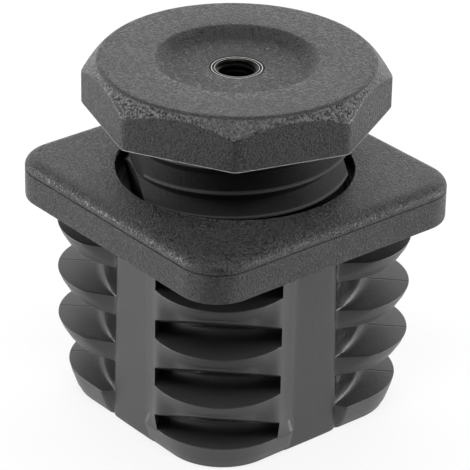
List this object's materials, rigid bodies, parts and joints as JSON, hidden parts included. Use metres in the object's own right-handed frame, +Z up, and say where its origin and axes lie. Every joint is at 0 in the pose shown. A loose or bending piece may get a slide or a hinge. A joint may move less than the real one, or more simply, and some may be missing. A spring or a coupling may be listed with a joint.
{
  "type": "adjustable threaded tube insert",
  "caption": "Square ribbed plastic plug for a tube end, with a large octagonal screw that turns in it to set the height and a threaded steel bush for a foot or castor.",
  "frame": {"origin": "middle of the plug's lower end, on the axis of the thread", "axes": "+Z up along the axis, from the plug towards the head; X and Y square to the flange's sides"},
  "size_m": [0.06, 0.06, 0.0694],
  "materials": {
    "insert_plastic": "black moulded plastic, fine spark-eroded grain on the flange, satin on the plug",
    "screw_plastic": "black moulded plastic, fine spark-eroded grain on the head, smoother thread",
    "bush_steel": "turned steel"
  },
  "bodies": {
    "insert": {"insert_body": "insert_plastic"},
    "bush": {"threaded_bush": "bush_steel"},
    "screw": {"adjusting_screw": "screw_plastic"}
  },
  "joints": [
    {"name": "screw_travel", "type": "slide", "parent": "insert", "child": "bush", "axis": [0, 0, 1], "range_m": [-0.0118, 0.015]},
    {"name": "screw_turn", "type": "hinge", "parent": "bush", "child": "screw", "pos_m": [0, 0, 0.0586], "axis": [0, 0, 1], "range_deg": [-851, 1081]}
  ],
  "couplings": [
    {"joint": "screw_turn", "follows": "screw_travel", "rad_per_m": 1256.6}
  ]
}
